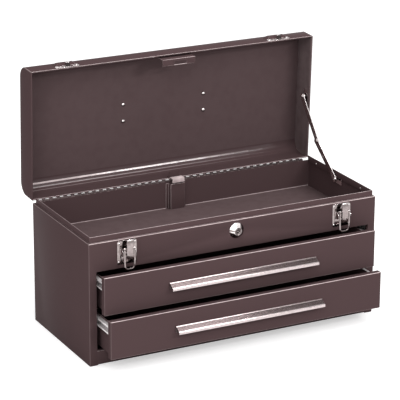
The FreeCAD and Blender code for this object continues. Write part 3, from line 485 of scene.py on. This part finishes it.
def plated_painted_reflection(face, painted_shift=0.0):
    """The painted reflection on a plated face, by its facing."""
    facing = face.normal.dot(plated_light)
    return clamp(plated_contrast * facing + plated_level + painted_shift, -1.0, 1.0)


# %% [markdown]
# In a formed copy, loose triangles are merged, flat facets are dissolved into whole faces, and
# every edge sharper than a limit is bevelled. A modifier could bevel too, but an operator on
# the mesh leaves the real shape in the piece and lets the new faces be marked with the tone of
# their painted light.

# %% Helpers: formed copies
weld = 0.004 * MM
flat = math.radians(0.6)
edge_band = 1.7 * MM
band_slenderness = 6


def formed_copy(node, width, segments=2, limit=30.0, tone=sheet_painted_highlight, whole=False):
    """A copy of a node with every corner sharper than the limit rounded over by width.

    The rounded corners are marked with a tone of painted light, and so are the long narrow
    faces, such as a sheet's cut edge. With whole set, every face is.
    """
    bm = bmesh.new()
    bm.from_mesh(frame["nodes"][node].data)
    mark = bm.faces.layers.float.new("edge")
    bmesh.ops.remove_doubles(bm, verts=bm.verts, dist=weld)
    bmesh.ops.dissolve_limit(bm, angle_limit=flat, verts=bm.verts, edges=bm.edges)
    corners = [e for e in bm.edges
               if len(e.link_faces) == 2 and e.calc_face_angle() > math.radians(limit)]
    for face in bm.faces:
        longest = max(e.calc_length() for e in face.edges)
        slender = longest > band_slenderness * edge_band
        if whole or (slender and face.calc_area() < edge_band * longest):
            face[mark] = tone(face)
    rounded = bmesh.ops.bevel(bm, geom=corners, offset=width, offset_type="OFFSET",
                              segments=segments, profile=0.5, affect="EDGES",
                              clamp_overlap=True, material=-1)
    for face in rounded["faces"]:
        face.normal_update()
        face[mark] = tone(face)
    mesh = smooth_mesh(bm, node + "_formed")
    piece = put_piece(node + "_formed", mesh, body_of[node], slot_of[node])
    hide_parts(node)
    return piece


def plated_copy(node, width, painted_shift=0.0, limit=30.0):
    """A formed copy, rounded by width in millimetres, with every face given the plating's
    painted reflection.
    """
    return formed_copy(node, width * MM, limit=limit, whole=True,
                       tone=lambda face: plated_painted_reflection(face, painted_shift))


def face_count(piece):
    return f"{piece.name}: {len(piece.data.polygons)} faces"


# %% [markdown]
# ## Sheet metal
# The chest's panels are steel sheet about a millimetre thick. A sheet can take a rounding of
# almost half its thickness.

# %% Formed sheets
sheet_round = 0.38 * MM
plain_sheets = ("face_frame", "left_side_panel", "right_side_panel", "lid_left_end",
                "lid_lock_strike", "upper_drawer_front", "lower_drawer_front",
                "upper_drawer_tray", "lower_drawer_tray")
for node in plain_sheets:
    print(face_count(formed_copy(node, sheet_round)))

# %% [markdown]
# Three pieces are toned in their own way. The folded cover of the locking bar has a painted
# highlight down its left corners. The lid's right end has painted light on its inner face. The
# bar wears the enamel, and its head is painted bright.

# %% Locking bar, its cover and the lid's right end
cover_corner_highlight = 0.6
painted_lit_end = 0.14
bar_head_tone = 0.9
broad_face = 50 * MM * MM
bar_head_above = 199 * MM


def cover_tone(face):
    leftward = face.normal.x < -0.3 and abs(face.normal.z) < 0.3
    return cover_corner_highlight if leftward else sheet_painted_highlight(face)


def right_end_tone(face):
    inner = face.normal.x < -0.95 and face.calc_area() > broad_face
    return painted_lit_end if inner else sheet_painted_highlight(face)


def bar_tone(face):
    return bar_head_tone if face.calc_center_median().z > bar_head_above else sheet_painted_highlight(face)


print(face_count(formed_copy("locking_bar_channel", sheet_round, tone=cover_tone)))
print(face_count(formed_copy("lid_right_end", sheet_round, tone=right_end_tone, whole=True)))
bar = formed_copy("locking_bar", sheet_round, tone=bar_tone, whole=True)
bar.data.materials[0] = finish_of["brown_enamel"]
print(face_count(bar))

# %% [markdown]
# The lid's sheet is wrapped round two long bends, and the till's floor is one wide tray. Both
# lie open to the sky, so their broad inner faces get painted light, a shade lighter than the
# outside. A tone of a few hundredths is enough.

# %% Lid skin and till floor
widest_face = 0.02
lid_skin = formed_copy("lid_skin", sheet_round)
till_floor = formed_copy("till_floor", sheet_round)
for piece, inner_painted_light in ((lid_skin, 0.032), (till_floor, 0.055)):
    tones = piece.data.attributes["edge"]
    for face in piece.data.polygons:
        if face.area > widest_face and max(-face.normal.y, face.normal.z) > 0.95:
            tones.data[face.index].value = inner_painted_light
    print(face_count(piece))

# %% [markdown]
# A narrow painted highlight runs along the lower bend inside the lid. It is strongest at the
# left and gone towards the right end, with two fainter painted lines beside it. Each line is cut
# into the bend's faces by two planes through the bend's own axis, and then cut across in steps,
# so that its tone can fade along it.

# %% Helpers: faces of the bend
bend_axis = Vector((0, 136.1, 225.5)) * MM
bend_reach = 19.6 * MM
whole_bend = (-8.0, 98.0)


def in_bend(face, low_angle, high_angle):
    """Whether a face is on the bend's inner side, between two angles above the way forward."""
    out = bend_axis - face.calc_center_median()
    out.x = 0
    angle = math.degrees(math.atan2(out.z, -out.y))
    return (out.length < bend_reach and face.normal.dot(out.normalized()) > 0.9 and
            low_angle < angle < high_angle)


def cut_faces(bm, faces, place, normal):
    """Cuts some faces along a plane."""
    geom = set(faces)
    for face in faces:
        geom.update(face.edges)
        geom.update(face.verts)
    bmesh.ops.bisect_plane(bm, geom=list(geom), plane_co=place, plane_no=normal,
                           dist=0.001 * MM)


# %% [markdown]
# Each line has its angle round the bend and half its width, both in degrees, and the tone of
# its painted highlight at the left.

# %% Painted highlight lines in the bend
painted_highlight_lines = ((25.0, 4.2, 0.95), (45.0, 2.6, 0.30), (63.0, 2.2, 0.20))
fade_from, fade_to, fade_steps = -30 * MM, 190 * MM, 8
least_cut = 20 * MM * MM
bm = bmesh.new()
bm.from_mesh(lid_skin.data)
mark = bm.faces.layers.float["edge"]
for angle, spread, strength in painted_highlight_lines:
    for shift in (-spread, spread):
        slope = math.radians(angle + shift)
        near = [f for f in bm.faces if in_bend(f, *whole_bend) and f.calc_area() > least_cut]
        cut_faces(bm, near, bend_axis, (0, math.sin(slope), math.cos(slope)))
    line = (angle - spread, angle + spread)
    for step in range(fade_steps + 1):
        strip = [f for f in bm.faces if in_bend(f, *line)]
        x = fade_from + step / fade_steps * (fade_to - fade_from)
        cut_faces(bm, strip, (x, 0, 0), (1, 0, 0))
    for face in [f for f in bm.faces if in_bend(f, *line)]:
        along = (face.calc_center_median().x - fade_from) / (fade_to - fade_from)
        face[mark] = strength * (1.0 - clamp(along, 0.0, 1.0))
bm.to_mesh(lid_skin.data)
bm.free()
lid_skin.data.set_sharp_from_angle(angle=crease)
print(face_count(lid_skin))

# %% [markdown]
# The glossy coat goes on both long bends: in full on the painted highlight line, where it also
# mirrors a long lamp, and by half elsewhere.

# %% Coat on the bends
highlight_coat, bend_coat = 1.0, 0.5
least_coated = 12 * MM * MM
coat = lid_skin.data.attributes.new("coat", "FLOAT", "FACE")
tones = lid_skin.data.attributes["edge"]
coated = 0
for face in lid_skin.data.polygons:
    across, deep, high = (abs(v) for v in face.normal)
    if across < 0.2 and max(deep, high) < 0.985 and face.area > least_coated:
        highlighted = tones.data[face.index].value > 0.5
        coat.data[face.index].value = highlight_coat if highlighted else bend_coat
        coated += 1
print("coated faces on the lid's bends:", coated)

# %% [markdown]
# ## Small hardware
# Stamped and turned fittings are rounder for their size than the panels, and every face of them
# is plated and carries the plating's painted reflection. Each row below gives the width of the
# rounding in millimetres and how much painted light is added to that reflection. The rails, the
# runners and the stay's brackets get the most painted light, and the latches get a little
# painted shade.

# %% Formed hardware
hardware = {"stay_upper_link": (0.35, 0.0), "stay_lower_link": (0.35, 0.0),
            "stay_knee_rivet": (0.60, 0.0), "stay_knee_washer": (0.30, 0.0),
            "lock_cam": (0.25, 0.0),
            "left_handle_strap": (0.35, 0.0), "right_handle_strap": (0.35, 0.0)}
for side in ("left", "right"):
    hardware[side + "_latch_base"] = (0.28, -0.15)
    hardware[side + "_latch_lever"] = (0.30, -0.15)
    hardware[side + "_latch_loop"] = (0.42, -0.15)
for name in ("upper", "lower"):
    for side in ("left", "right"):
        hardware[f"{name}_drawer_{side}_rail"] = (0.22, 0.25)
        hardware[f"{name}_{side}_runner"] = (0.22, 0.25)
for side in ("case", "lid"):
    hardware[f"stay_{side}_bracket"] = (0.30, 0.55)
for node, (width, painted_shift) in hardware.items():
    print(face_count(plated_copy(node, width, painted_shift)))

# %% [markdown]
# ## The lock
# The lock's collar is a polished cone with a painted reflection: it turns from white to black
# round its axis, with a dark bar across its left, so its tone goes by the angle. It widens
# towards the sheet and narrows towards its nose. The barrel is darker, with painted shade for
# the collar's shadow.

# %% Lock collar and barrel
lock_low, lock_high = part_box("lock_housing")
lock_height = (lock_low[2] + lock_high[2]) / 2
case_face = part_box("face_frame")[0][1]
nose_radius, thread_radius = 8.8 * MM, 7.2 * MM
foot_swell, nose_swell = 1.12, 0.70


def collar_painted_reflection(face):
    """The collar's painted reflection, by the angle from the right and upwards, in degrees."""
    middle = face.calc_center_median()
    turn = math.degrees(math.atan2(middle.z - lock_height, middle.x)) % 360
    if math.hypot(middle.x, middle.z - lock_height) < nose_radius:
        return -0.4
    if 62 < turn < 168 or 186 < turn < 232:
        return 1.0
    return -0.75 if turn < 40 or turn > 300 else -0.35


collar = formed_copy("lock_housing", 0.30 * MM, tone=collar_painted_reflection, whole=True)
for vertex in collar.data.vertices:
    reach = (case_face - vertex.co.y) / (case_face - lock_low[1])
    if reach > 0.01 and math.hypot(vertex.co.x, vertex.co.z - lock_height) > thread_radius:
        swell = foot_swell + (nose_swell - foot_swell) * reach
        vertex.co.x *= swell
        vertex.co.z = lock_height + swell * (vertex.co.z - lock_height)
print(face_count(collar))
print(face_count(plated_copy("lock_barrel", 0.25, painted_shift=-0.55)))

# %% [markdown]
# The handle's wire is swept round, so only the sharp corners of its ends are rounded. The heads
# of its rivets are treated alike. The grip needs no more than its finish.

# %% Handle
# Like every plated copy, the wire and the rivet heads carry the plating's painted reflection.
swept_limit = 50.0
print(face_count(plated_copy("handle_bail", 0.05, limit=swept_limit)))
print(face_count(plated_copy("handle_rivets", 0.45, limit=swept_limit)))

# %% [markdown]
# ## Ribbed pulls
# An extruded pull is read by its stripes, and here they are painted light and shade: a painted
# highlight on a bead at the top of the slope and on another at its foot, dull ribs, painted
# shade in the grooves and on faces turned down, and a finger lip painted pale as a highlight.
# The bands are told apart by the way they face and by how far they lie below the pull's upper
# edge, in millimetres.

# %% Pulls
pull_round = 0.10 * MM
bead_above, foot_below, lip_below = 0.8, 5.6, 7.0


def pull_painted_light(top, face):
    """The painted light or shade of one band of a pull whose upper edge is at the height top."""
    below = (top - face.calc_center_median().z) / MM
    up, out = face.normal.z, -face.normal.y
    if up > 0.95:
        return 1.0
    if out > 0.95:
        return 0.62 if below > lip_below else -0.9
    if up > 0.5 and out > 0.3:
        return 1.0 if below < bead_above or below > foot_below else 0.0
    if up < -0.3:
        return -0.6
    return -0.9 if out < -0.3 else 0.2


for node in ("upper_drawer_pull", "lower_drawer_pull"):
    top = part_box(node)[1][2]
    print(face_count(formed_copy(node, pull_round, whole=True,
                                 tone=lambda face: pull_painted_light(top, face))))

# %% [markdown]
# ## Piano hinge
# The two leaves' knuckles take turns along the pin. The lower leaf's get a painted highlight on
# their front and the lid's own get painted shade, so the joint reads as a row of bright dashes.
# The rest of both leaves gets painted shade.

# %% Hinge leaves
knuckle_round = 0.10 * MM
knuckles_above = 198.9 * MM
case_knuckle_highlight, lid_knuckle_shade = 0.55, -0.9


def knuckle_painted_light(bright, face):
    """The painted light or shade of a leaf whose knuckles have that tone on their front."""
    low = face.calc_center_median().z < knuckles_above
    if low or abs(face.normal.x) > 0.5:
        return -0.5
    if face.normal.y < -0.95:
        return bright
    return -0.25 if face.normal.z > 0.5 and bright > 0 else -0.8


for node, bright in (("case_hinge_leaf", case_knuckle_highlight), ("lid_hinge_leaf", lid_knuckle_shade)):
    print(face_count(formed_copy(node, knuckle_round, segments=1, limit=60.0, whole=True,
                                 tone=lambda face: knuckle_painted_light(bright, face))))

# %% [markdown]
# ## Latch strikes
# Each strike is a plated plate and nose on a pressed hump that was sprayed with the lid, so the
# hump's faces wear the enamel and the two rivets and the nose stay plated. The plated faces
# carry the plating's painted reflection, the hump's small faces a faint painted highlight, and
# the underside of the nose painted shade.

# %% Strikes
hump_depth = 7.2 * MM
nose_half_width = 5 * MM
small_face = 3 * MM * MM
for side in ("left", "right"):
    node = side + "_latch_strike"
    low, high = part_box(node)
    middle_x = (low[0] + high[0]) / 2
    piece = plated_copy(node, 0.32)
    piece.data.materials.append(finish_of["brown_enamel"])
    tones = piece.data.attributes["edge"]
    sprayed = 0
    for face in piece.data.polygons:
        if face.center.y > low[1] + hump_depth:
            face.material_index = 1
            tones.data[face.index].value = 0.25 if face.area < small_face else 0.0
            sprayed += 1
        elif abs(face.center.x - middle_x) < nose_half_width and face.normal.z < 0.3:
            tones.data[face.index].value = -0.9
    print(face_count(piece), "of which", sprayed, "are sprayed")

# %% [markdown]
# ## Rivet heads
# A set rivet has a low round head. Each one starts as a flat grid, which is wrapped round into
# a low dome, welded along its seam and at its crown, and closed below. A half sphere would do
# too, but a grid's faces come in the same order each time. All the heads of one fitting that
# ride on one body are one piece.

# %% Helper: rivet heads
rivet_painted_shift = 0.25
head_sides, head_rings = 20, 5


def rivet_heads(name, body, places, out, radius, height):
    """One piece with a domed head at each place. Places and sizes are in millimetres."""
    heads = bmesh.new()
    stand = Vector((0, 0, 1)).rotation_difference(Vector(out)).to_matrix()
    for place in places:
        bm = bmesh.new()
        bmesh.ops.create_grid(bm, x_segments=head_sides, y_segments=head_rings, size=1.0)
        for vertex in bm.verts:
            around = math.pi * (1.0 - vertex.co.x)
            fall = math.pi / 4 * (1.0 - vertex.co.y)
            vertex.co = Vector((radius * math.sin(fall) * math.cos(around),
                                radius * math.sin(fall) * math.sin(around),
                                height * math.cos(fall))) * MM
        bmesh.ops.remove_doubles(bm, verts=bm.verts, dist=0.001 * MM)
        bmesh.ops.contextual_create(bm, geom=[e for e in bm.edges if e.is_boundary])
        bmesh.ops.rotate(bm, cent=(0, 0, 0), matrix=stand, verts=bm.verts)
        bmesh.ops.translate(bm, vec=Vector(place) * MM, verts=bm.verts)
        one = bpy.data.meshes.new(name + "_one")
        bm.to_mesh(one)
        bm.free()
        heads.from_mesh(one)
        bpy.data.meshes.remove(one)
    bmesh.ops.recalc_face_normals(heads, faces=heads.faces)
    mark = heads.faces.layers.float.new("edge")
    # Each head carries the plating's painted reflection, a little brighter.
    for face in heads.faces:
        face[mark] = plated_painted_reflection(face, rivet_painted_shift)
    piece = put_piece(name, smooth_mesh(heads, name), body, "nickel_plate")
    print(face_count(piece))


# %% [markdown]
# Four small heads hold each latch's plate, four large ones inside the lid hold the handle, two
# sit in the right side's lip, and one holds each of the stay's brackets.

# %% Rivets
forward, leftward = (0, -1, 0), (-1, 0, 0)
latch_middle, latch_reach, latch_heights = 191.5, 13.9, (165.0, 195.4)
for side, middle in (("left", -latch_middle), ("right", latch_middle)):
    places = [(middle + x, -108.9, z) for x in (-latch_reach, latch_reach)
              for z in latch_heights]
    rivet_heads(side + "_latch_rivets", body_of[side + "_latch_base"], places, forward,
                radius=1.7, height=0.8)
handle_places = [(x, 149.95, z) for x in (-74.0, 74.0) for z in (303.1, 331.6)]
lip_places = [(251.1, y, 203.4) for y in (-67.0, 76.0)]
rivet_heads("lid_inner_rivets", "lid", handle_places, forward, radius=3.0, height=1.3)
rivet_heads("right_lip_rivets", "case", lip_places, leftward, radius=1.9, height=0.8)
rivet_heads("stay_lid_rivet", "lid", [(247.45, 123.6, 311.1)], leftward,
            radius=3.1, height=0.9)
rivet_heads("stay_case_rivet", "case", [(245.85, 7.5, 197.5)], leftward,
            radius=3.1, height=0.9)

# %% [markdown]
# ## The till's seam
# The till's floor turns up against the back panel in a narrow rounded bead, with a painted
# highlight where it would catch the light. It is broken where the locking bar passes. A swept
# curve would do as well, but a thin rod laid on its side is all that a straight bead needs.

# %% Seam bead
bead_highlight = 0.5
bead_radius = 0.75 * MM
bead_place = Vector((0, 106.7, 156.2)) * MM
bead_inner, bead_outer = 18.5, 254.0


def seam_bead(name, start_x, end_x):
    """A half-buried round bead along the chest's width, between two places in millimetres."""
    bm = bmesh.new()
    mark = bm.faces.layers.float.new("edge")
    middle = bead_place + Vector(((start_x + end_x) / 2, 0, 0)) * MM
    turned = Vector((0, 0, 1)).rotation_difference(Vector((1, 0, 0))).to_matrix()
    bmesh.ops.create_cone(bm, cap_ends=True, segments=10, radius1=bead_radius,
                          radius2=bead_radius, depth=(end_x - start_x) * MM)
    bmesh.ops.rotate(bm, cent=(0, 0, 0), matrix=turned, verts=bm.verts)
    bmesh.ops.translate(bm, vec=middle, verts=bm.verts)
    bmesh.ops.recalc_face_normals(bm, faces=bm.faces)
    for face in bm.faces:
        face[mark] = bead_highlight
    print(face_count(put_piece(name, smooth_mesh(bm, name), "case", "brown_enamel")))


seam_bead("till_seam_left", -bead_outer, -bead_inner)
seam_bead("till_seam_right", bead_inner, bead_outer)

# %% [markdown]
# ## The floor
# The set is a pale sheet under soft lamps. To a camera the sheet should look white, yet the
# chest's own shadow has to stay. So the floor scatters light as pale paper does, and only rays
# from the camera, a mirror or glass see a glow added to it.

# %% Helper: rays that see


def seen_directly(tree):
    """1 for rays from the camera, a mirror or glass, and 0 for the rays that light the chest."""
    path = add_node(tree, "ShaderNodeLightPath")
    either = add_node(tree, "ShaderNodeMath", operation="MAXIMUM")
    any_of = add_node(tree, "ShaderNodeMath", operation="MAXIMUM")
    wire(tree,
         (path, "Is Camera Ray", either, 0),
         (path, "Is Glossy Ray", either, 1),
         (either, "Value", any_of, 0),
         (path, "Is Transmission Ray", any_of, 1))
    return any_of.outputs["Value"]


# %% Floor
floor_half = 9.0
paper_white = (0.88, 0.88, 0.88, 1)
paper_glow = 0.50
bm = bmesh.new()
bmesh.ops.create_grid(bm, x_segments=1, y_segments=1, size=floor_half)
floor_mesh = bpy.data.meshes.new("floor")
bm.to_mesh(floor_mesh)
bm.free()
floor = bpy.data.objects.new("floor", floor_mesh)
bpy.context.scene.collection.objects.link(floor)

paper = bpy.data.materials.new("paper")
paper.use_nodes = True
paper_tree = paper.node_tree
paper_tree.nodes.clear()
skin = add_node(paper_tree, "ShaderNodeBsdfDiffuse", Color=paper_white)
glow = add_node(paper_tree, "ShaderNodeEmission")
glow_strength = add_node(paper_tree, "ShaderNodeMath", operation="MULTIPLY")
glow_strength.inputs[1].default_value = paper_glow
both = add_node(paper_tree, "ShaderNodeAddShader")
paper_out = add_node(paper_tree, "ShaderNodeOutputMaterial")
paper_tree.links.new(seen_directly(paper_tree), glow_strength.inputs[0])
wire(paper_tree,
     (glow_strength, "Value", glow, "Strength"),
     (skin, "BSDF", both, 0),
     (glow, "Emission", both, 1),
     (both, "Shader", paper_out, "Surface"))
floor_mesh.materials.append(paper)
print("floor", 2 * floor_half, "m across")

# %% [markdown]
# ## The world
# The world is an even white that fills the shadows. It is dimmer for the rays that light the
# chest than for those that see it, so the background stays white behind a brown chest that
# renders about as it was mixed.

# %% World
sky_light, sky_seen = 0.56, 1.0
world = bpy.data.worlds.new("studio")
bpy.context.scene.world = world
world.use_nodes = True
world_tree = world.node_tree
sky = world_tree.nodes["Background"]
sky.inputs["Color"].default_value = (1, 1, 1, 1)
sky_strength = add_node(world_tree, "ShaderNodeMapRange", To_Min=sky_light, To_Max=sky_seen)
world_tree.links.new(seen_directly(world_tree), sky_strength.inputs["Value"])
wire(world_tree, (sky_strength, "Result", sky, "Strength"))
print("world gives", sky_light, "of white")

# %% [markdown]
# ## The lamps
# Three large soft boxes model the chest: a key in front and above, one overhead that puts the
# shadow under it, and a weak one at its left. A long narrow lamp at the right is mirrored in the
# lid's coated bend. Each row gives a lamp's place, its aim, its width and height in metres, and
# its power in watts.

# %% Lamps
chest_middle = (0, 0, 0.2)
bend_middle = (-0.12, 0.15, 0.25)
lamps = {
    "key": ((-1.1, -1.9, 2.2), chest_middle, 1.8, 1.4, 22.0),
    "top": ((0.3, -0.4, 2.6), chest_middle, 1.6, 1.2, 28.0),
    "side": ((-2.3, -1.5, 1.1), chest_middle, 1.2, 1.2, 8.0),
    "strip": ((0.88, -1.90, 1.38), bend_middle, 0.80, 0.10, 14.0),
}
for name, (place, aim, width, height, power) in lamps.items():
    data = bpy.data.lights.new(name, "AREA")
    data.shape = "RECTANGLE"
    data.size = width
    data.size_y = height
    data.energy = power
    lamp = bpy.data.objects.new(name, data)
    lamp.location = place
    lamp.rotation_mode = "QUATERNION"
    lamp.rotation_quaternion = (Vector(aim) - Vector(place)).to_track_quat("-Z", "Y")
    bpy.context.scene.collection.objects.link(lamp)
print("lamps:", list(lamps))

# %% [markdown]
# ## Finish
# The plain view transform keeps the white of the set white.

# %% Finish
bpy.context.scene.view_settings.view_transform = "Standard"
